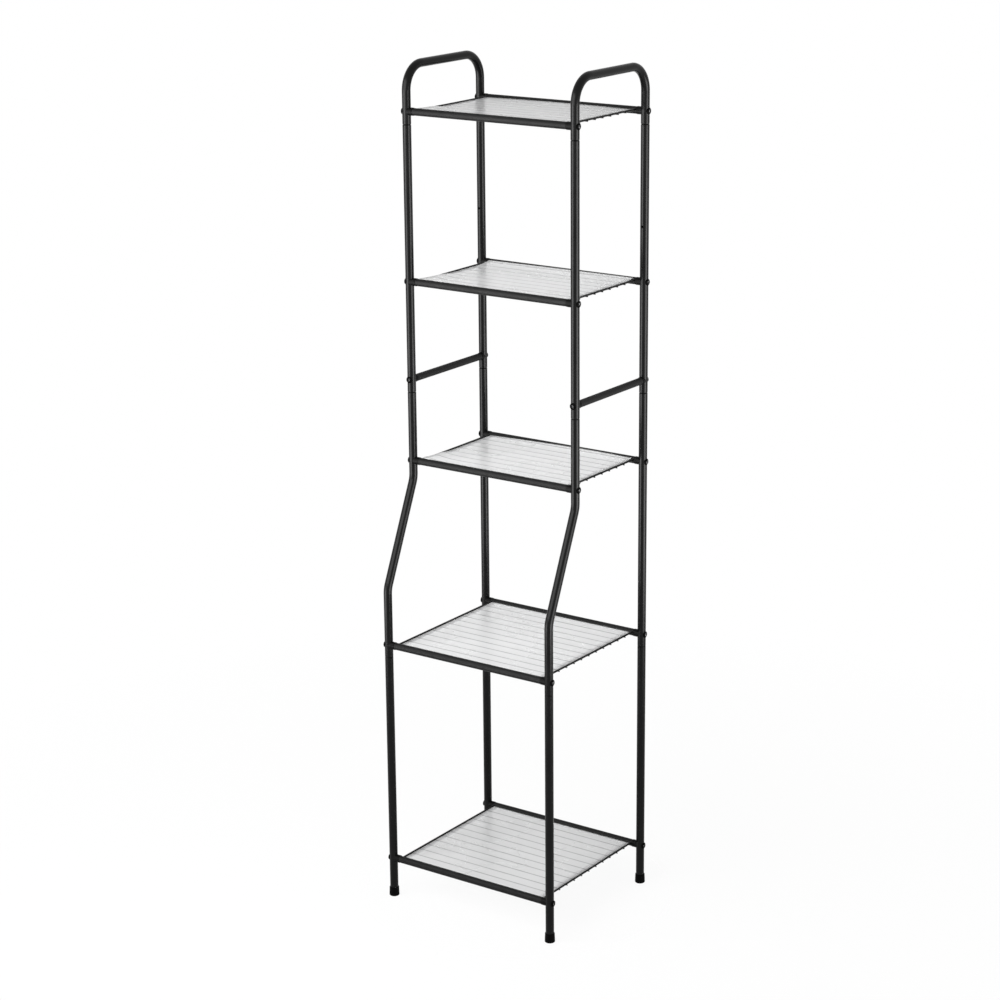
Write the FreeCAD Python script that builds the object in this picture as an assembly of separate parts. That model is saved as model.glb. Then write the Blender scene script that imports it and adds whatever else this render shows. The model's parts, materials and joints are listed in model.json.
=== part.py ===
"""Free-standing bathroom shelving unit of black steel tube with five wire shelves and frosted liners.

Millimetres. X runs across the unit, Y from front to rear, Z up from the floor.
The origin is at the middle of the footprint, on the floor.
"""
import FreeCAD, Part
import math
import os

# Overall layout, between tube axes
POST_SPACING = 365.0
LOWER_DEPTH = 316.0
UPPER_DEPTH = 229.0
FIRST_SHELF_HEIGHT = 79.0
GAP_SHELF_1_TO_2 = 437.0
GAP_SHELF_2_TO_3 = 342.0
GAP_SHELF_3_TO_4 = 341.5
GAP_SHELF_4_TO_5 = 313.0
CROSSBAR_ABOVE_SHELF_3 = 156.5
HANDLE_ABOVE_SHELF_5 = 82.5
WALL_HOLE_ABOVE_SHELF_4 = 103.0

# Post tubes: they plug together on swaged spigots, a little below what is bolted to them
POST_DIAMETER = 16.0
POST_WALL = 1.2
SEAM_DROP = 24.0
SEAM_CHAMFER = 1.0
SPIGOT_LENGTH = 15.0
SPIGOT_CLEARANCE = 0.1
HANDLE_BEND_RADIUS = 46.0
POST_BEND_RADIUS = 45.0
BEND_BELOW_SHELF_3 = 34.0
BEND_ABOVE_SHELF_2 = 111.0
WALL_HOLE_DIAMETER = 4.5

# Shelf rails and side crossbars: tubes with a plastic saddle plug in each end
RAIL_DIAMETER = 13.5
RAIL_WALL = 1.0
CROSSBAR_DIAMETER = 13.5
CROSSBAR_WALL = 1.0
RAIL_SADDLE_LENGTH = 8.0
CROSSBAR_SADDLE_LENGTH = 3.0
SADDLE_LIP = 0.6
PLUG_DEPTH = 18.0
PLUG_CLEARANCE = 0.1

# Button-head screws through the posts
SCREW_DIAMETER = 6.0
SCREW_HOLE_CLEARANCE = 0.25
SCREW_REACH = 20.0
HEAD_DIAMETER = 12.5
HEAD_HEIGHT = 2.5
HEAD_RIM = 0.8
HEAD_SEAT = 0.5
SOCKET_FLATS = 5.0
SOCKET_DEPTH = 1.7

# Wire decks
SIDE_WIRE_DIAMETER = 3.8
SIDE_WIRE_INSET = 18.5
SIDE_WIRE_RISE = 1.8
CROSS_WIRE_DIAMETER = 2.2
CROSS_WIRE_PITCH = 25.0
CROSS_WIRE_OVERHANG = 0.8
CROSS_WIRE_END_GAP = 28.0
WELD_BITE = 1.0

# Liner sheets: laid loose on the wires, each with its rear edge leaning on the rear rail
LINER_THICKNESS = 0.8
LINER_SIDE_GAP = 1.0
LINER_FRONT_GAP = 2.0
LINER_RAIL_GAP = 0.1
LINER_CURL_LENGTH = 45.0
LINER_EDGE_HEIGHT_1 = 1.2
LINER_EDGE_HEIGHT_2 = 1.6
LINER_EDGE_HEIGHT_3 = 4.2
LINER_EDGE_HEIGHT_4 = 5.2
LINER_EDGE_HEIGHT_5 = 2.0

# Foot caps
FOOT_HEIGHT = 17.5
FOOT_TOP_DIAMETER = 18.4
FOOT_BASE_DIAMETER = 19.6
FOOT_FLOOR = 3.0
FOOT_CLEARANCE = 0.1
FOOT_EDGE_RADIUS = 1.8

# Heights of the rail axes, shelf 1 at the bottom
SHELF_1 = FIRST_SHELF_HEIGHT
SHELF_2 = SHELF_1 + GAP_SHELF_1_TO_2
SHELF_3 = SHELF_2 + GAP_SHELF_2_TO_3
SHELF_4 = SHELF_3 + GAP_SHELF_3_TO_4
SHELF_5 = SHELF_4 + GAP_SHELF_4_TO_5
SHELVES = {1: SHELF_1, 2: SHELF_2, 3: SHELF_3, 4: SHELF_4, 5: SHELF_5}
CROSSBAR_HEIGHT = SHELF_3 + CROSSBAR_ABOVE_SHELF_3
HANDLE_HEIGHT = SHELF_5 + HANDLE_ABOVE_SHELF_5
WALL_HOLE_HEIGHT = SHELF_4 + WALL_HOLE_ABOVE_SHELF_4
LINER_EDGE_HEIGHTS = {
    1: LINER_EDGE_HEIGHT_1,
    2: LINER_EDGE_HEIGHT_2,
    3: LINER_EDGE_HEIGHT_3,
    4: LINER_EDGE_HEIGHT_4,
    5: LINER_EDGE_HEIGHT_5,
}

# Seams between the post sections
SEAM_LOW = SHELF_2 - SEAM_DROP
SEAM_MIDDLE = CROSSBAR_HEIGHT - SEAM_DROP
SEAM_TOP = SHELF_5 - SEAM_DROP

# Places of the post axes
SIDES = {"left": -POST_SPACING / 2, "right": POST_SPACING / 2}
REAR_Y = LOWER_DEPTH / 2
FRONT_LOWER_Y = REAR_Y - LOWER_DEPTH
FRONT_UPPER_Y = REAR_Y - UPPER_DEPTH

# Radii that several pieces share
POST_RADIUS = POST_DIAMETER / 2
POST_BORE = POST_RADIUS - POST_WALL
SPIGOT_RADIUS = POST_BORE - SPIGOT_CLEARANCE
SPIGOT_BORE = SPIGOT_RADIUS - POST_WALL
RAIL_RADIUS = RAIL_DIAMETER / 2
CROSSBAR_RADIUS = CROSSBAR_DIAMETER / 2
SCREW_HOLE_RADIUS = SCREW_DIAMETER / 2 + SCREW_HOLE_CLEARANCE
SIDE_WIRE_RADIUS = SIDE_WIRE_DIAMETER / 2
CROSS_WIRE_RADIUS = CROSS_WIRE_DIAMETER / 2

# Heights in a deck, from the rail axis
CROSS_WIRE_LEVEL = SIDE_WIRE_RISE - SIDE_WIRE_RADIUS - CROSS_WIRE_RADIUS + WELD_BITE
LINER_LEVEL = CROSS_WIRE_LEVEL + CROSS_WIRE_RADIUS

X_AXIS = FreeCAD.Vector(1, 0, 0)
Y_AXIS = FreeCAD.Vector(0, 1, 0)
Z_AXIS = FreeCAD.Vector(0, 0, 1)
ORIGIN = FreeCAD.Vector(0, 0, 0)


def vector(x, y, z):
    """A point or direction."""
    return FreeCAD.Vector(x, y, z)


def revolved(profile):
    """Turn a closed outline of (radius, height) points about Z."""
    points = [vector(radius, 0, height) for radius, height in profile]
    outline = Part.makePolygon(points + points[:1])
    return Part.Face(outline).revolve(ORIGIN, Z_AXIS, 360)


def rod(radius, start, end):
    """A round bar between two points."""
    along = end - start
    return Part.makeCylinder(radius, along.Length, start, along)


def tube(radius, wall, start, end):
    """A round tube between two points, open at both ends."""
    return rod(radius, start, end).cut(rod(radius - wall, start, end))


def drilled(shape, radius, points, direction):
    """Drill straight through a post at each point, along a direction."""
    reach = direction * POST_DIAMETER
    for point in points:
        shape = shape.cut(rod(radius, point - reach, point + reach))
    return shape


def spigot_end(seam):
    """The top of a post section: a shoulder at the seam and the swaged spigot above it."""
    shoulder = seam - POST_WALL
    tip = seam + SPIGOT_LENGTH
    return revolved([
        (SPIGOT_BORE, shoulder - POST_WALL),
        (POST_RADIUS, shoulder - POST_WALL),
        (POST_RADIUS, seam - SEAM_CHAMFER),
        (POST_RADIUS - SEAM_CHAMFER, seam),
        (SPIGOT_RADIUS, seam),
        (SPIGOT_RADIUS, tip),
        (SPIGOT_BORE, tip),
    ])


def socket_end(seam):
    """The bottom of a post section, chamfered outside, open to the spigot below."""
    top = seam + POST_WALL
    return revolved([
        (POST_BORE, seam),
        (POST_RADIUS - SEAM_CHAMFER, seam),
        (POST_RADIUS, seam + SEAM_CHAMFER),
        (POST_RADIUS, top),
        (POST_BORE, top),
    ])


def post_section(centre, direction):
    """The post tube's ring-shaped section, square to a direction."""
    rings = [Part.Wire(Part.makeCircle(radius, centre, direction)) for radius in (POST_RADIUS, POST_BORE)]
    return Part.makeFace(rings, "Part::FaceMakerBullseye")


def bent_tube(points, bend_radius):
    """Straight runs of post tube joined by tangent bends at the points between its ends."""
    runs = []
    start = points[0]
    for before, corner, after in zip(points, points[1:], points[2:]):
        arriving = (corner - before).normalize()
        leaving = (after - corner).normalize()
        turn = arriving.getAngle(leaving)
        setback = bend_radius * math.tan(turn / 2)
        bend_start = corner - arriving * setback
        axis = arriving.cross(leaving).normalize()
        centre = bend_start + axis.cross(arriving) * bend_radius
        bend = post_section(bend_start, arriving).revolve(centre, axis, math.degrees(turn))
        runs += [tube(POST_RADIUS, POST_WALL, start, bend_start), bend]
        start = corner + leaving * setback
    runs.append(tube(POST_RADIUS, POST_WALL, start, points[-1]))
    return runs[0].fuse(runs[1:])


def lower_post(x, y):
    """From the foot cap to the lowest seam."""
    bottom = vector(x, y, FOOT_FLOOR)
    top = vector(x, y, SEAM_LOW - 2 * POST_WALL)
    spigot = spigot_end(SEAM_LOW).translated(vector(x, y, 0))
    body = tube(POST_RADIUS, POST_WALL, bottom, top).fuse(spigot)
    body = drilled(body, SCREW_HOLE_RADIUS, [vector(x, y, SHELF_1)], X_AXIS)
    return body.removeSplitter()


def middle_post(x, y_low, y_high):
    """From the lowest seam to the middle one, with a double bend where the depth changes."""
    start = vector(x, y_low, SEAM_LOW + POST_WALL)
    end = vector(x, y_high, SEAM_MIDDLE - 2 * POST_WALL)
    if y_low == y_high:
        body = tube(POST_RADIUS, POST_WALL, start, end)
    else:
        low_bend = vector(x, y_low, SHELF_2 + BEND_ABOVE_SHELF_2)
        high_bend = vector(x, y_high, SHELF_3 - BEND_BELOW_SHELF_3)
        body = bent_tube([start, low_bend, high_bend, end], POST_BEND_RADIUS)
    spigot = spigot_end(SEAM_MIDDLE).translated(vector(x, y_high, 0))
    socket = socket_end(SEAM_LOW).translated(vector(x, y_low, 0))
    body = body.fuse([spigot, socket])
    holes = [vector(x, y_low, SHELF_2), vector(x, y_high, SHELF_3)]
    return drilled(body, SCREW_HOLE_RADIUS, holes, X_AXIS).removeSplitter()


def upper_post(x, y, wall_hole):
    """From the middle seam to the top one; the rear pair also has a hole for a wall screw."""
    start = vector(x, y, SEAM_MIDDLE + POST_WALL)
    end = vector(x, y, SEAM_TOP - 2 * POST_WALL)
    spigot = spigot_end(SEAM_TOP).translated(vector(x, y, 0))
    socket = socket_end(SEAM_MIDDLE).translated(vector(x, y, 0))
    body = tube(POST_RADIUS, POST_WALL, start, end).fuse([spigot, socket])
    body = drilled(body, SCREW_HOLE_RADIUS, [vector(x, y, SHELF_4)], X_AXIS)
    body = drilled(body, SCREW_HOLE_RADIUS, [vector(x, y, CROSSBAR_HEIGHT)], Y_AXIS)
    if wall_hole:
        body = drilled(body, WALL_HOLE_DIAMETER / 2, [vector(x, y, WALL_HOLE_HEIGHT)], Y_AXIS)
    return body.removeSplitter()


def top_handle(x):
    """The inverted U that closes a side frame and holds the top shelf."""
    foot = SEAM_TOP + POST_WALL
    corners = [
        vector(x, FRONT_UPPER_Y, foot),
        vector(x, FRONT_UPPER_Y, HANDLE_HEIGHT),
        vector(x, REAR_Y, HANDLE_HEIGHT),
        vector(x, REAR_Y, foot),
    ]
    sockets = [socket_end(SEAM_TOP).translated(vector(x, y, 0)) for y in (FRONT_UPPER_Y, REAR_Y)]
    body = bent_tube(corners, HANDLE_BEND_RADIUS).fuse(sockets)
    holes = [vector(x, y, SHELF_5) for y in (FRONT_UPPER_Y, REAR_Y)]
    return drilled(body, SCREW_HOLE_RADIUS, holes, X_AXIS).removeSplitter()


def foot_cap():
    """A flared plastic cap with a rounded tread, standing on the floor under the Z axis."""
    base = FOOT_BASE_DIAMETER / 2
    bore = POST_RADIUS + FOOT_CLEARANCE
    outside = Part.makeCone(base, FOOT_TOP_DIAMETER / 2, FOOT_HEIGHT)
    rims = [edge for edge in outside.Edges if edge.Closed]
    outside = outside.makeFillet(FOOT_EDGE_RADIUS, [rim for rim in rims if rim.CenterOfMass.z < FOOT_FLOOR])
    well = Part.makeCylinder(bore, FOOT_HEIGHT, vector(0, 0, FOOT_FLOOR))
    return outside.cut(well)


def saddle_plug(tube_radius, wall, saddle_length):
    """A plug for the end of a tube that runs along X from a post on the Z axis.

    Its saddle is hollowed to the post, its shank fills the tube, and the screw bites into its bore.
    """
    face = POST_RADIUS + saddle_length
    end = vector(face + PLUG_DEPTH, 0, 0)
    saddle = rod(tube_radius + SADDLE_LIP, ORIGIN, vector(face, 0, 0))
    shank = rod(tube_radius - wall - PLUG_CLEARANCE, vector(face, 0, 0), end)
    post = Part.makeCylinder(POST_RADIUS, POST_DIAMETER * 2, vector(0, 0, -POST_DIAMETER))
    behind = Part.makeBox(POST_DIAMETER, POST_DIAMETER * 2, POST_DIAMETER * 2,
                          vector(-POST_DIAMETER, -POST_DIAMETER, -POST_DIAMETER))
    bore = rod(SCREW_DIAMETER / 2, ORIGIN, end)
    return saddle.fuse(shank).cut([post, behind, bore]).removeSplitter()


def screw():
    """A button-head screw along X, its head drawn down on the far side of a post on the Z axis."""
    head_base = POST_RADIUS - HEAD_SEAT
    head_rim = head_base + HEAD_RIM
    crown = head_base + HEAD_HEIGHT
    edge = HEAD_DIAMETER / 2
    shoulder = edge * math.cos(math.radians(45))
    bulge = head_rim + (crown - head_rim) * math.sin(math.radians(45))
    dome = Part.Arc(vector(edge, 0, head_rim), vector(shoulder, 0, bulge), vector(0, 0, crown)).toShape()
    corners = [vector(0, 0, crown), vector(0, 0, head_base), vector(edge, 0, head_base),
               vector(edge, 0, head_rim)]
    outline = Part.Wire([dome] + Part.makePolygon(corners).Edges)
    head = Part.Face(outline).revolve(ORIGIN, Z_AXIS, 360)
    corner_radius = SOCKET_FLATS / 2 / math.cos(math.radians(30))
    hexagon = [vector(corner_radius * math.cos(math.radians(angle)),
                      corner_radius * math.sin(math.radians(angle)), crown - SOCKET_DEPTH)
               for angle in range(0, 360, 60)]
    recess = Part.Face(Part.makePolygon(hexagon + hexagon[:1])).extrude(Z_AXIS * HEAD_HEIGHT)
    head = head.cut(recess)
    head.rotate(ORIGIN, Y_AXIS, -90)
    post = Part.makeCylinder(POST_RADIUS, POST_DIAMETER * 2, vector(0, 0, -POST_DIAMETER))
    tip = vector(POST_RADIUS + SCREW_REACH, 0, 0)
    shank = rod(SCREW_DIAMETER / 2, vector(-head_base - HEAD_RIM / 2, 0, 0), tip)
    return head.cut(post).fuse(shank).removeSplitter()


def placed(shape, x, y, z, turn):
    """A copy turned about Z and moved to a place."""
    copy = shape.copy()
    copy.rotate(ORIGIN, Z_AXIS, turn)
    copy.translate(vector(x, y, z))
    return copy


def at_shelf_corners(shape, front_y, height):
    """Copies of a piece that points inward along X, one at each corner of a shelf."""
    return [placed(shape, x, y, height, 0 if x < 0 else 180)
            for x in SIDES.values() for y in (front_y, REAR_Y)]


def at_crossbar_ends(shape):
    """Copies of a piece that points inward along Y, one at each end of both crossbars."""
    return [placed(shape, x, y, CROSSBAR_HEIGHT, 90 if y < REAR_Y else -90)
            for x in SIDES.values() for y in (FRONT_UPPER_Y, REAR_Y)]


def shelf_rail(y, height):
    """A rail tube across the unit, between two saddles."""
    reach = POST_SPACING / 2 - POST_RADIUS - RAIL_SADDLE_LENGTH
    return tube(RAIL_RADIUS, RAIL_WALL, vector(-reach, y, height), vector(reach, y, height))


def side_crossbar(x):
    """A tube from front to rear that ties the two posts of a side frame."""
    reach = POST_RADIUS + CROSSBAR_SADDLE_LENGTH
    start = vector(x, FRONT_UPPER_Y + reach, CROSSBAR_HEIGHT)
    end = vector(x, REAR_Y - reach, CROSSBAR_HEIGHT)
    return tube(CROSSBAR_RADIUS, CROSSBAR_WALL, start, end)


def cross_wire_places(front_y):
    """The places of the cross wires, an even pitch set in the middle of the deck."""
    depth = REAR_Y - front_y
    gaps = math.floor((depth - 2 * CROSS_WIRE_END_GAP) / CROSS_WIRE_PITCH)
    first = (front_y + REAR_Y - gaps * CROSS_WIRE_PITCH) / 2
    return [first + step * CROSS_WIRE_PITCH for step in range(gaps + 1)]


def wire_deck(front_y, height):
    """Two side wires coped to the rails, with the cross wires welded under them."""
    side_x = POST_SPACING / 2 - SIDE_WIRE_INSET
    level = height + SIDE_WIRE_RISE
    side_wires = [rod(SIDE_WIRE_RADIUS, vector(x, front_y, level), vector(x, REAR_Y, level))
                  for x in (-side_x, side_x)]
    reach = vector(POST_SPACING / 2, 0, 0)
    rails = [rod(RAIL_RADIUS, vector(0, y, height) - reach, vector(0, y, height) + reach)
             for y in (front_y, REAR_Y)]
    end = side_x + SIDE_WIRE_RADIUS + CROSS_WIRE_OVERHANG
    low = height + CROSS_WIRE_LEVEL
    cross_wires = [rod(CROSS_WIRE_RADIUS, vector(-end, y, low), vector(end, y, low))
                   for y in cross_wire_places(front_y)]
    sides = [wire.cut(rails) for wire in side_wires]
    return sides[0].fuse(sides[1:] + cross_wires)


def liner(front_y, height, edge_height):
    """A frosted sheet on the cross wires, its rear edge curling up to lean on the rear rail."""
    bottom = height + LINER_LEVEL
    front = front_y + RAIL_RADIUS + LINER_FRONT_GAP
    contact = RAIL_RADIUS + LINER_RAIL_GAP
    rear = REAR_Y - math.sqrt(contact ** 2 - edge_height ** 2)
    rise = height + edge_height - bottom
    flat_end = rear - LINER_CURL_LENGTH
    radius = (LINER_CURL_LENGTH ** 2 + rise ** 2) / (2 * rise)
    centre = vector(0, flat_end, bottom + radius)
    turn = math.asin(LINER_CURL_LENGTH / radius)

    def on_curl(distance, angle):
        return centre + vector(0, distance * math.sin(angle), -distance * math.cos(angle))

    upper = radius - LINER_THICKNESS
    lower_arc = Part.Arc(on_curl(radius, 0), on_curl(radius, turn / 2), on_curl(radius, turn))
    upper_arc = Part.Arc(on_curl(upper, turn), on_curl(upper, turn / 2), on_curl(upper, 0))
    front_low = vector(0, front, bottom)
    front_high = vector(0, front, bottom + LINER_THICKNESS)
    outline = Part.Wire([
        Part.LineSegment(front_low, on_curl(radius, 0)).toShape(),
        lower_arc.toShape(),
        Part.LineSegment(on_curl(radius, turn), on_curl(upper, turn)).toShape(),
        upper_arc.toShape(),
        Part.LineSegment(on_curl(upper, 0), front_high).toShape(),
        Part.LineSegment(front_high, front_low).toShape(),
    ])
    half_width = POST_SPACING / 2 - SIDE_WIRE_INSET - SIDE_WIRE_RADIUS - LINER_SIDE_GAP
    sheet = Part.Face(outline).extrude(X_AXIS * (2 * half_width))
    return sheet.translated(X_AXIS * -half_width)


def build():
    """All the pieces by name; a group of like small pieces is a list."""
    nodes = {}
    rail_plug = saddle_plug(RAIL_RADIUS, RAIL_WALL, RAIL_SADDLE_LENGTH)
    bar_plug = saddle_plug(CROSSBAR_RADIUS, CROSSBAR_WALL, CROSSBAR_SADDLE_LENGTH)
    fastener = screw()
    cap = foot_cap()
    for side, x in SIDES.items():
        nodes[f"top_handle_{side}"] = top_handle(x)
        nodes[f"side_crossbar_{side}"] = side_crossbar(x)
        nodes[f"upper_post_front_{side}"] = upper_post(x, FRONT_UPPER_Y, wall_hole=False)
        nodes[f"upper_post_rear_{side}"] = upper_post(x, REAR_Y, wall_hole=True)
        nodes[f"bent_middle_post_front_{side}"] = middle_post(x, FRONT_LOWER_Y, FRONT_UPPER_Y)
        nodes[f"middle_post_rear_{side}"] = middle_post(x, REAR_Y, REAR_Y)
        for end, y in (("front", FRONT_LOWER_Y), ("rear", REAR_Y)):
            nodes[f"lower_post_{end}_{side}"] = lower_post(x, y)
            nodes[f"foot_cap_{end}_{side}"] = placed(cap, x, y, 0, 0)
    for number, height in SHELVES.items():
        front_y = FRONT_LOWER_Y if height <= SHELF_2 else FRONT_UPPER_Y
        nodes[f"shelf_{number}_front_rail"] = shelf_rail(front_y, height)
        nodes[f"shelf_{number}_rear_rail"] = shelf_rail(REAR_Y, height)
        nodes[f"shelf_{number}_wire_deck"] = wire_deck(front_y, height)
        nodes[f"shelf_{number}_liner"] = liner(front_y, height, LINER_EDGE_HEIGHTS[number])
        nodes[f"shelf_{number}_saddle_plugs"] = at_shelf_corners(rail_plug, front_y, height)
        nodes[f"shelf_{number}_screws"] = at_shelf_corners(fastener, front_y, height)
    nodes["crossbar_saddle_plugs"] = at_crossbar_ends(bar_plug)
    nodes["crossbar_screws"] = at_crossbar_ends(fastener)
    return nodes


os.makedirs("parts", exist_ok=True)
for name, piece in build().items():
    solid = Part.makeCompound(piece) if isinstance(piece, list) else piece
    solid.exportStep(f"parts/{name}.step")
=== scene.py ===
"""Looks for the bathroom shelving unit: materials, studio and the photograph's camera, in metres."""

import json
import math

import bpy
import bmesh
from mathutils import Matrix, Vector


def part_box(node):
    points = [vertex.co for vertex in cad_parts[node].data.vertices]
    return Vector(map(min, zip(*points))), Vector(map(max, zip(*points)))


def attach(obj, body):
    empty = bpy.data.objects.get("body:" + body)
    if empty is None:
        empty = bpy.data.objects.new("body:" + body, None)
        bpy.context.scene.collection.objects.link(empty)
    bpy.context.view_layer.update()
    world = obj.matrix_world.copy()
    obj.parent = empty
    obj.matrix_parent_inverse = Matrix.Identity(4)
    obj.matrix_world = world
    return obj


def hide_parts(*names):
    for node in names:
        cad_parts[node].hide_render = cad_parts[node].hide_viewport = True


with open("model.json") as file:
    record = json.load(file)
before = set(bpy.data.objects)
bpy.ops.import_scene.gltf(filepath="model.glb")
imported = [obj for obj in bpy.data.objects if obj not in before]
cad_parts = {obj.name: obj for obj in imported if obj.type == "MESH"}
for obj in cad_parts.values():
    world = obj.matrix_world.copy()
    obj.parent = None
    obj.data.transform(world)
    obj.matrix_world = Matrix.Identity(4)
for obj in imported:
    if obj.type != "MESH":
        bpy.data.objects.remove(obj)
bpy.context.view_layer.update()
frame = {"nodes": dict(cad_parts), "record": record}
nodes = frame["nodes"]

# The photograph's camera, solved from its tube and rail lines
CAMERA_PLACE = (2.6290, -3.7674, 2.1492)
CAMERA_YAW = 35.254
CAMERA_PITCH = 16.458
CAMERA_ROLL = -0.537
CAMERA_LENS = 92.26
SENSOR_WIDTH = 36.0

# White studio
BACKGROUND_WHITE = 1.0
FILL_ZENITH = 0.25
FILL_HORIZON = 0.75
FLOOR_WHITE = 0.96
FLOOR_REACH = 1.6
SHADOW_SHARE = 0.08

# Softboxes: the side pair have grids, and the posts mirror them as bright strips
SIDE_BOX_WIDTH = 1.4
SIDE_BOX_HEIGHT = 1.44
SIDE_BOX_TARGET = (0, 0, 1.28)
SIDE_BOX_SPREAD = 70.0
LEFT_BOX_PLACE = (-0.93, -1.61, 0.73)
LEFT_BOX_POWER = 10.4
RIGHT_BOX_PLACE = (1.86, -0.02, 0.73)
RIGHT_BOX_POWER = 11.8
FRONT_BOX_WIDTH = 2.2
FRONT_BOX_HEIGHT = 1.3
FRONT_BOX_TARGET = (0, 0, 0.8)
FRONT_BOX_SPREAD = 180.0
FRONT_BOX_PLACE = (-0.4, -1.6, 1.8)
FRONT_BOX_POWER = 49.0

# Colours of the coats, each from its darker to its lighter patches
POWDER = ((0.0018, 0.0018, 0.0018), (0.0036, 0.0036, 0.0036))
PLASTIC = ((0.0010, 0.0010, 0.0010), (0.0020, 0.0020, 0.0020))
BARE_STEEL = ((0.20, 0.20, 0.203), (0.30, 0.30, 0.303))
# Darker copy of the socket steel: painted shade for the crossbar sockets that face the front softbox
SHADED_STEEL = ((0.05, 0.05, 0.051), (0.08, 0.08, 0.081))

# Noise in the coats: features per metre, depth of the grain, and the part of a noise's range in use
PATCH_NOISE = 18.0
SMUDGE_NOISE = 55.0
COAT_DEPTH = 0.00006
NOISE_LOW = 0.3
NOISE_HIGH = 0.7

# Frosted look of the liners
LINER_PALE = (0.83, 0.835, 0.838)
LINER_WHITE = (0.89, 0.892, 0.895)
# Colour of the painted shade where a wire lies under a liner
LINER_WIRE_SHADE = (0.30, 0.303, 0.306)
LINER_IOR = 1.45
LINER_CLEARNESS = 0.2
LINER_ROUGHNESS = (0.24, 0.32)
CLOUD_NOISE = 9.0
FROST_NOISE = 1400.0
FROST_RELIEF = 0.07
FROST_DEPTH = 0.00005
# Noise scale and strength range of the painted shade along each wire
WIRE_SHADE_NOISE = 26.0
WIRE_SHADE_STRENGTHS = (0.75, 1.0)

# Shape of the liners, laid loose on the wires
WIRE_PITCH = 0.025
# Distance from a wire's middle out to where its painted shade on the liner ends
WIRE_SHADE_REACH = 0.0024
LINER_THICKNESS = 0.0008
LINER_SAG = 0.00025
LINER_CURL = 0.045
LINER_RAIL_GAP = 0.0001
CORNER_WIDTH = 0.045
CORNER_SHIFT_REACH = 0.035
CREASE_ANGLE = 40.0
COLUMNS = 24
ROWS_PER_WIRE = 6

# Screw heads, and how squarely the floor of a socket faces out
HEAD_RADIUS = 0.00625
SOCKET_RADIUS = 0.00295
SOCKET_FACING = 0.9


class Coat:
    """A coated, moulded or metal surface: its colours, roughness, grain per metre, relief and gloss."""

    def __init__(self, colours, roughness, grain, relief, specular=0.12, metallic=0.0):
        self.colours = colours
        self.roughness = roughness
        self.grain = grain
        self.relief = relief
        self.specular = specular
        self.metallic = metallic


COATS = {
    "powder_coat": Coat(POWDER, roughness=(0.19, 0.25), grain=900.0, relief=0.15),
    "rail_coat": Coat(POWDER, roughness=(0.50, 0.58), grain=900.0, relief=0.15, specular=0.15),
    "wire_coat": Coat(POWDER, roughness=(0.26, 0.36), grain=1300.0, relief=0.2),
    "moulded_plastic": Coat(PLASTIC, roughness=(0.45, 0.58), grain=2400.0, relief=0.3, specular=0.03),
    "plug_plastic": Coat(POWDER, roughness=(0.32, 0.42), grain=2400.0, relief=0.2, specular=0.05),
    "blackened_screw": Coat(PLASTIC, roughness=(0.40, 0.50), grain=1800.0, relief=0.08, specular=0.015),
    "socket_steel": Coat(BARE_STEEL, roughness=(0.60, 0.75), grain=1800.0, relief=0.1, metallic=1.0),
    # Same steel as the sockets, darkened as painted shade
    "shaded_socket_steel": Coat(SHADED_STEEL, roughness=(0.60, 0.75), grain=1800.0, relief=0.1, metallic=1.0),
}

SLOT_COATS = {
    "black_powder_coat": "powder_coat",
    "black_wire_coat": "wire_coat",
    "black_plastic": "moulded_plastic",
    "black_screw": "blackened_screw",
}


class Drape:
    """How a liner lies: heights of its rear edge above the rail's axis and its lifted corner, and a
    painted shade scale that darkens its colours.
    """

    def __init__(self, left, middle, right, lift=0.0, shift=0.0, reach=0.08, tone=1.0):
        self.left = left
        self.middle = middle
        self.right = right
        self.lift = lift
        self.shift = shift
        self.reach = reach
        self.tone = tone


# The lowest and top liners have their colours scaled darker: painted shade for the less light that falls
# on them
DRAPES = {
    1: Drape(0.0011, 0.0011, 0.0011, tone=0.90),
    2: Drape(0.0014, 0.0014, 0.0014),
    3: Drape(0.0010, 0.0048, 0.0043, lift=0.0034, shift=0.006, reach=0.085),
    4: Drape(0.0045, 0.0053, 0.0055, lift=0.0036, shift=0.007, reach=0.105),
    5: Drape(0.0010, 0.0025, 0.0011, lift=0.0034, shift=0.006, reach=0.075, tone=0.95),
}


def placed(name, data):
    """A new object in the scene."""
    thing = bpy.data.objects.new(name, data)
    bpy.context.scene.collection.objects.link(thing)
    return thing


def new_material(name):
    """A material with an empty node tree and its output node."""
    material = bpy.data.materials.new(name)
    material.use_nodes = True
    tree = material.node_tree
    tree.nodes.clear()
    output = tree.nodes.new("ShaderNodeOutputMaterial")
    return material, tree, output


def noise(tree, scale, detail):
    """Noise on object coordinates, so its features have a real size in metres."""
    place = tree.nodes.new("ShaderNodeTexCoord")
    texture = tree.nodes.new("ShaderNodeTexNoise")
    texture.inputs["Scale"].default_value = scale
    texture.inputs["Detail"].default_value = detail
    tree.links.new(place.outputs["Object"], texture.inputs["Vector"])
    return texture.outputs["Fac"]


def ramp(tree, factor, low, high):
    """A colour that runs from low to high with a noise."""
    blend = tree.nodes.new("ShaderNodeValToRGB")
    first, last = blend.color_ramp.elements
    first.position = NOISE_LOW
    last.position = NOISE_HIGH
    first.color = (*low, 1)
    last.color = (*high, 1)
    tree.links.new(factor, blend.inputs["Fac"])
    return blend.outputs["Color"]


def span(tree, factor, low, high):
    """A number that runs from low to high with a noise."""
    between = tree.nodes.new("ShaderNodeMapRange")
    between.inputs["From Min"].default_value = NOISE_LOW
    between.inputs["From Max"].default_value = NOISE_HIGH
    between.inputs["To Min"].default_value = low
    between.inputs["To Max"].default_value = high
    tree.links.new(factor, between.inputs["Value"])
    return between.outputs["Result"]


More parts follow.
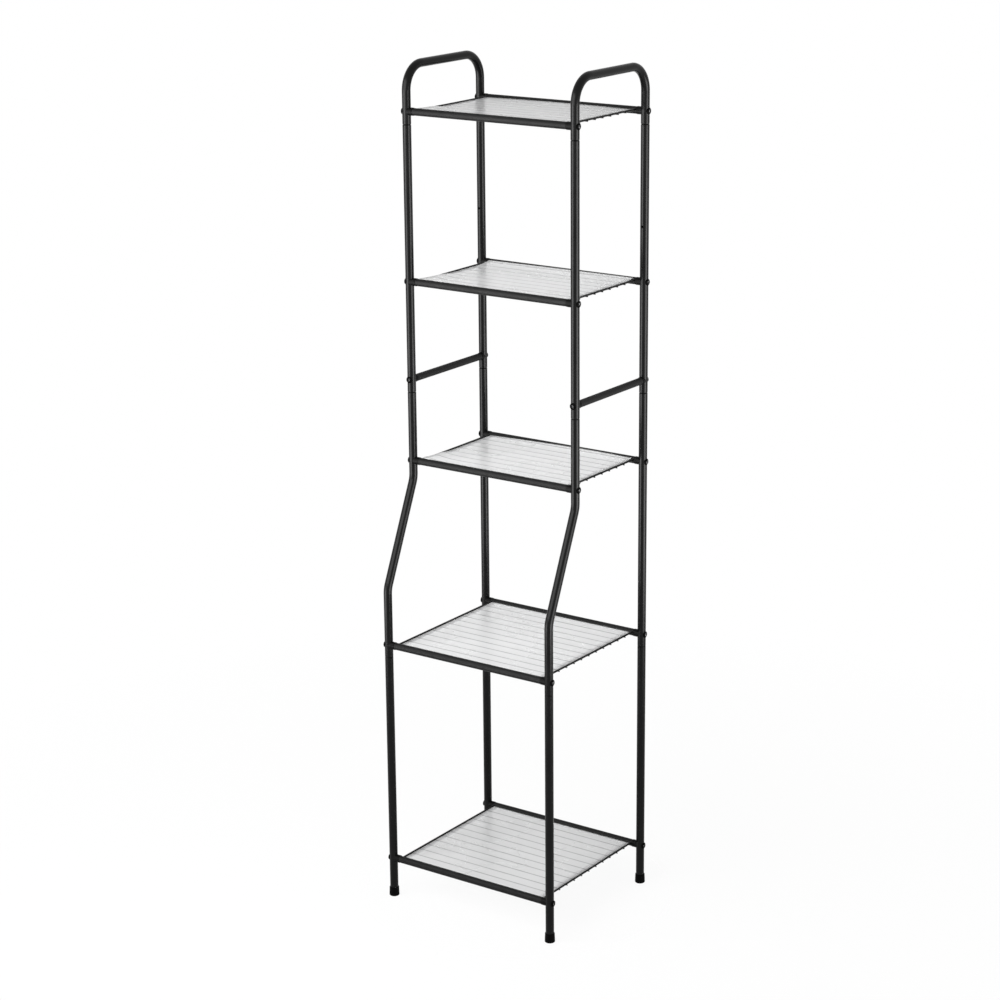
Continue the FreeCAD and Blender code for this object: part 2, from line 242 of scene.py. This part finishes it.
def bump(tree, height, strength, distance):
    """A normal from a height."""
    relief = tree.nodes.new("ShaderNodeBump")
    relief.inputs["Strength"].default_value = strength
    relief.inputs["Distance"].default_value = distance
    tree.links.new(height, relief.inputs["Height"])
    return relief.outputs["Normal"]


def arithmetic(tree, operation, first, second, clamp=False):
    """The result of a sum on a value, with another value or a plain number."""
    node = tree.nodes.new("ShaderNodeMath")
    node.operation = operation
    node.use_clamp = clamp
    tree.links.new(first, node.inputs[0])
    if isinstance(second, float):
        node.inputs[1].default_value = second
    else:
        tree.links.new(second, node.inputs[1])
    return node.outputs["Value"]


def mixed(tree, factor, first, second):
    """The first shader where a factor is 0, and the second where it is 1."""
    mix = tree.nodes.new("ShaderNodeMixShader")
    tree.links.new(factor, mix.inputs["Fac"])
    tree.links.new(first, mix.inputs[1])
    tree.links.new(second, mix.inputs[2])
    return mix.outputs["Shader"]


def coated(name):
    """A surface with slow colour and gloss variation and a fine orange-peel grain."""
    coat = COATS[name]
    material, tree, output = new_material(name)
    shader = tree.nodes.new("ShaderNodeBsdfPrincipled")
    shader.inputs["Specular IOR Level"].default_value = coat.specular
    shader.inputs["Metallic"].default_value = coat.metallic
    patches = noise(tree, PATCH_NOISE, detail=3.0)
    smudges = noise(tree, SMUDGE_NOISE, detail=4.0)
    grain = noise(tree, coat.grain, detail=2.0)
    tree.links.new(ramp(tree, patches, *coat.colours), shader.inputs["Base Color"])
    tree.links.new(span(tree, smudges, *coat.roughness), shader.inputs["Roughness"])
    tree.links.new(bump(tree, grain, coat.relief, COAT_DEPTH), shader.inputs["Normal"])
    tree.links.new(shader.outputs["BSDF"], output.inputs["Surface"])
    return material


def painted_wire_shade(tree, wire_y):
    """How much painted shade a wire under the sheet puts on it: 0 between wires, at most 1 on one."""
    place = tree.nodes.new("ShaderNodeTexCoord")
    axes = tree.nodes.new("ShaderNodeSeparateXYZ")
    tree.links.new(place.outputs["Object"], axes.inputs["Vector"])
    along = arithmetic(tree, "SUBTRACT", axes.outputs["Y"], wire_y)
    away = arithmetic(tree, "PINGPONG", along, WIRE_PITCH / 2)
    # The painted shade's strength varies along each wire with a noise
    contact = noise(tree, WIRE_SHADE_NOISE, detail=2.0)
    line = tree.nodes.new("ShaderNodeMapRange")
    line.interpolation_type = "SMOOTHSTEP"
    line.inputs["From Min"].default_value = WIRE_SHADE_REACH
    line.inputs["From Max"].default_value = 0.0
    tree.links.new(away, line.inputs["Value"])
    tree.links.new(span(tree, contact, *WIRE_SHADE_STRENGTHS), line.inputs["To Max"])
    return line.outputs["Result"]


def frosted(name, wire_y, tone):
    """A translucent frosted sheet, with soft dark lines of painted shade where wires lie under it, and all
    its colours scaled darker by a painted shade scale.
    """
    material, tree, output = new_material(name)
    shader = tree.nodes.new("ShaderNodeBsdfPrincipled")
    shader.inputs["IOR"].default_value = LINER_IOR
    shader.inputs["Transmission Weight"].default_value = LINER_CLEARNESS
    clouds = noise(tree, CLOUD_NOISE, detail=3.0)
    frost = noise(tree, FROST_NOISE, detail=2.0)
    # Painted shade: the sheet's colours scaled darker for a liner that gets less light
    pale = [tone * share for share in LINER_PALE]
    white = [tone * share for share in LINER_WHITE]
    tint = tree.nodes.new("ShaderNodeMixRGB")
    tint.inputs["Color2"].default_value = (*LINER_WIRE_SHADE, 1)
    tree.links.new(painted_wire_shade(tree, wire_y), tint.inputs["Fac"])
    tree.links.new(ramp(tree, clouds, pale, white), tint.inputs["Color1"])
    tree.links.new(tint.outputs["Color"], shader.inputs["Base Color"])
    tree.links.new(span(tree, clouds, *LINER_ROUGHNESS), shader.inputs["Roughness"])
    tree.links.new(bump(tree, frost, FROST_RELIEF, FROST_DEPTH), shader.inputs["Normal"])
    tree.links.new(shader.outputs["BSDF"], output.inputs["Surface"])
    return material


def eased(share):
    """A share held between 0 and 1, with a smooth start and stop."""
    held = min(max(share, 0.0), 1.0)
    return held * held * (3 - 2 * held)


def middle(low, high, axis):
    """Half-way between two corners of a box, along an axis."""
    return (low[axis] + high[axis]) / 2


def draped(number):
    """A liner's underside as a function, the place of a wire under it, and its number of rows."""
    drape = DRAPES[number]
    low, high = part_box(f"shelf_{number}_liner")
    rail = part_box(f"shelf_{number}_rear_rail")
    rail_y = middle(*rail, 1)
    rail_z = middle(*rail, 2)
    contact = rail[1][2] - rail_z + LINER_RAIL_GAP
    wire_y = middle(*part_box(f"shelf_{number}_wire_deck"), 1)
    rows = ROWS_PER_WIRE * round((high[1] - low[1]) / WIRE_PITCH)
    bow = drape.middle - (drape.left + drape.right) / 2

    def point(across, back):
        """The underside's place at a share of the way across and a share of the way back."""
        edge = drape.left + (drape.right - drape.left) * across + bow * (1 - (2 * across - 1) ** 2)
        rear = rail_y - math.sqrt(contact ** 2 - edge ** 2)
        x = low[0] + (high[0] - low[0]) * across
        y = low[1] + (rear - low[1]) * back
        sag = LINER_SAG * (1 - math.cos(2 * math.pi * (y - wire_y) / WIRE_PITCH)) / 2
        curl = max(0.0, 1 - (rear - y) / LINER_CURL) ** 2
        near_side = eased(1 - (x - low[0]) / CORNER_WIDTH)
        from_front = y - low[1]
        lifted = eased((drape.reach - from_front) / (drape.reach - CORNER_SHIFT_REACH))
        shifted = eased(1 - from_front / CORNER_SHIFT_REACH)
        lift = drape.lift * near_side * lifted
        shift = drape.shift * near_side * shifted
        return Vector((x - shift, y, low[2] - sag + lift + (rail_z + edge - low[2]) * curl))

    return point, wire_y, rows


def sheet_level(made, point, rows, rise):
    """Rows of new corners of a sheet, at a height over its underside."""
    upward = Vector((0, 0, rise))
    level = []
    for row in range(rows + 1):
        places = [point(column / COLUMNS, row / rows) + upward for column in range(COLUMNS + 1)]
        level.append([made.verts.new(place) for place in places])
    return level


def sheet_rim(rows):
    """The row and column of each corner round the edge of a sheet."""
    rim = [(0, column) for column in range(COLUMNS)]
    rim += [(row, COLUMNS) for row in range(rows)]
    rim += [(rows, column) for column in range(COLUMNS, 0, -1)]
    rim += [(row, 0) for row in range(rows, 0, -1)]
    return rim


def liner_sheet(number):
    """A thin closed sheet that sags between the wires, leans on the rear rail and may lift at a corner."""
    point, wire_y, rows = draped(number)
    made = bmesh.new()
    under = sheet_level(made, point, rows, 0.0)
    over = sheet_level(made, point, rows, LINER_THICKNESS)
    for row in range(rows):
        for column in range(COLUMNS):
            cell = ((row, column), (row, column + 1), (row + 1, column + 1), (row + 1, column))
            made.faces.new([over[r][c] for r, c in cell])
            made.faces.new([under[r][c] for r, c in cell[::-1]])
    rim = sheet_rim(rows)
    for (r, c), (next_r, next_c) in zip(rim, rim[1:] + rim[:1]):
        made.faces.new((under[r][c], under[next_r][next_c], over[next_r][next_c], over[r][c]))
    for edge in made.edges:
        edge.smooth = edge.calc_face_angle() < math.radians(CREASE_ANGLE)
    for face in made.faces:
        face.smooth = True
    mesh = bpy.data.meshes.new(f"liner_sheet_{number}")
    made.to_mesh(mesh)
    made.free()
    mesh.materials.append(frosted(f"frosted_sheet_{number}", wire_y, DRAPES[number].tone))
    sheet = placed(mesh.name, mesh)
    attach(sheet, "root")
    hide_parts(f"shelf_{number}_liner")


def coat_name(node, slot):
    """The coat of a node: its slot's, apart from the duller rails and crossbars and the plugs in them."""
    if node.endswith("_rail") or node.startswith("side_crossbar"):
        return "rail_coat"
    if node.endswith("saddle_plugs"):
        return "plug_plastic"
    return SLOT_COATS[slot]


def bare_sockets(name, bare):
    """Show bare steel on the socket floors of a group of screws, found by place and direction."""
    mesh = nodes[name].data
    mesh.materials.append(bare)
    low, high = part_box(name)
    across, along = (0, 1) if name.startswith("crossbar") else (1, 0)
    height = middle(low, high, 2)
    axes = [low[across] + HEAD_RADIUS, high[across] - HEAD_RADIUS]
    for face in mesh.polygons:
        corners = [mesh.vertices[index].co for index in face.vertices]
        spread = max(min(math.hypot(corner[across] - axis, corner.z - height) for axis in axes)
                     for corner in corners)
        if spread < SOCKET_RADIUS and abs(face.normal[along]) > SOCKET_FACING:
            face.material_index = 1


def dress():
    """Give every rigid node its material, and lay the liners."""
    coats = {name: coated(name) for name in COATS}
    for part in frame["record"]["subparts"]:
        node = part["node"]
        slot = part["material_slot"]
        if slot in SLOT_COATS:
            mesh = nodes[node].data
            mesh.materials.clear()
            mesh.materials.append(coats[coat_name(node, slot)])
        if slot == "black_screw":
            # The crossbar sockets get the darker copy of the steel, as painted shade
            steel = "shaded_socket_steel" if node == "crossbar_screws" else "socket_steel"
            bare_sockets(node, coats[steel])
    for number in DRAPES:
        liner_sheet(number)


def seen_directly(tree):
    """1 for rays that show the background: from the camera, or off a glossy or through a clear surface."""
    path = tree.nodes.new("ShaderNodeLightPath")
    mirrored = arithmetic(tree, "MAXIMUM", path.outputs["Is Camera Ray"], path.outputs["Is Glossy Ray"])
    return arithmetic(tree, "MAXIMUM", mirrored, path.outputs["Is Transmission Ray"])


def white_world():
    """A white background to look at, and a softer fill, dimmer overhead, to light the object."""
    world = bpy.data.worlds.new("studio_white")
    bpy.context.scene.world = world
    world.use_nodes = True
    tree = world.node_tree
    tree.nodes.clear()
    output = tree.nodes.new("ShaderNodeOutputWorld")
    place = tree.nodes.new("ShaderNodeTexCoord")
    axes = tree.nodes.new("ShaderNodeSeparateXYZ")
    dimmer = tree.nodes.new("ShaderNodeMapRange")
    dimmer.inputs["To Min"].default_value = FILL_HORIZON
    dimmer.inputs["To Max"].default_value = FILL_ZENITH
    fill = tree.nodes.new("ShaderNodeBackground")
    fill.inputs["Color"].default_value = (1, 1, 1, 1)
    tree.links.new(place.outputs["Generated"], axes.inputs["Vector"])
    tree.links.new(axes.outputs["Z"], dimmer.inputs["Value"])
    tree.links.new(dimmer.outputs["Result"], fill.inputs["Strength"])
    shown = tree.nodes.new("ShaderNodeBackground")
    shown.inputs["Color"].default_value = (1, 1, 1, 1)
    shown.inputs["Strength"].default_value = BACKGROUND_WHITE
    both = mixed(tree, seen_directly(tree), fill.outputs["Background"], shown.outputs["Background"])
    tree.links.new(both, output.inputs["Surface"])


def floor_material():
    """White from above, with a share of real shading for the object's shadow, and clear from below."""
    material, tree, output = new_material("white_floor")
    lit = tree.nodes.new("ShaderNodeBsdfDiffuse")
    lit.inputs["Color"].default_value = (FLOOR_WHITE, FLOOR_WHITE, FLOOR_WHITE, 1)
    shown = tree.nodes.new("ShaderNodeEmission")
    shown.inputs["Strength"].default_value = BACKGROUND_WHITE
    white_share = arithmetic(tree, "MULTIPLY", seen_directly(tree), 1 - SHADOW_SHARE)
    white = mixed(tree, white_share, lit.outputs["BSDF"], shown.outputs["Emission"])
    place = tree.nodes.new("ShaderNodeTexCoord")
    near = tree.nodes.new("ShaderNodeMapping")
    near.inputs["Scale"].default_value = (1 / FLOOR_REACH, 1 / FLOOR_REACH, 1)
    fade = tree.nodes.new("ShaderNodeTexGradient")
    fade.gradient_type = "SPHERICAL"
    tree.links.new(place.outputs["Object"], near.inputs["Vector"])
    tree.links.new(near.outputs["Vector"], fade.inputs["Vector"])
    side = tree.nodes.new("ShaderNodeNewGeometry")
    clear = tree.nodes.new("ShaderNodeBsdfTransparent")
    shows = arithmetic(tree, "SUBTRACT", fade.outputs["Fac"], side.outputs["Backfacing"], clamp=True)
    tree.links.new(mixed(tree, shows, clear.outputs["BSDF"], white), output.inputs["Surface"])
    return material


def floor_plate():
    """A square floor under the object."""
    made = bmesh.new()
    signs = ((-1, -1), (1, -1), (1, 1), (-1, 1))
    made.faces.new([made.verts.new((x * FLOOR_REACH, y * FLOOR_REACH, 0)) for x, y in signs])
    mesh = bpy.data.meshes.new("floor")
    made.to_mesh(mesh)
    made.free()
    mesh.materials.append(floor_material())
    plate = placed("floor", mesh)


def softbox(name, place, target, width, height, power, spread):
    """A rectangular lamp that faces a point, with a grid where its spread is below 180 degrees."""
    lamp = bpy.data.lights.new(name, "AREA")
    lamp.shape = "RECTANGLE"
    lamp.size = width
    lamp.size_y = height
    lamp.energy = power
    lamp.spread = math.radians(spread)
    box = placed(name, lamp)
    box.location = place
    box.rotation_euler = (Vector(target) - Vector(place)).to_track_quat("-Z", "Y").to_euler()


def studio():
    """White world, pale floor and three softboxes."""
    white_world()
    floor_plate()
    softbox("softbox_left", LEFT_BOX_PLACE, SIDE_BOX_TARGET, SIDE_BOX_WIDTH, SIDE_BOX_HEIGHT,
            LEFT_BOX_POWER, SIDE_BOX_SPREAD)
    softbox("softbox_right", RIGHT_BOX_PLACE, SIDE_BOX_TARGET, SIDE_BOX_WIDTH, SIDE_BOX_HEIGHT,
            RIGHT_BOX_POWER, SIDE_BOX_SPREAD)
    softbox("softbox_front", FRONT_BOX_PLACE, FRONT_BOX_TARGET, FRONT_BOX_WIDTH, FRONT_BOX_HEIGHT,
            FRONT_BOX_POWER, FRONT_BOX_SPREAD)


def photo_camera():
    """The photograph's camera: yaw turns it left from +Y, pitch looks down, roll tips it."""
    yaw = math.radians(CAMERA_YAW)
    pitch = math.radians(CAMERA_PITCH)
    roll = math.radians(CAMERA_ROLL)
    reach = math.cos(pitch)
    ahead = Vector((-math.sin(yaw) * reach, math.cos(yaw) * reach, -math.sin(pitch)))
    level = Vector((math.cos(yaw), math.sin(yaw), 0))
    up = level.cross(ahead)
    right = level * math.cos(roll) + up * math.sin(roll)
    top = up * math.cos(roll) - level * math.sin(roll)
    data = bpy.data.cameras.new("photo_camera")
    data.sensor_width = SENSOR_WIDTH
    data.lens = CAMERA_LENS
    camera = placed("photo_camera", data)
    turn = Matrix((right, top, -ahead)).transposed()
    camera.matrix_world = Matrix.Translation(CAMERA_PLACE) @ turn.to_4x4()
    bpy.context.scene.camera = camera


dress()
studio()
photo_camera()
bpy.context.scene.view_settings.view_transform = "Standard"
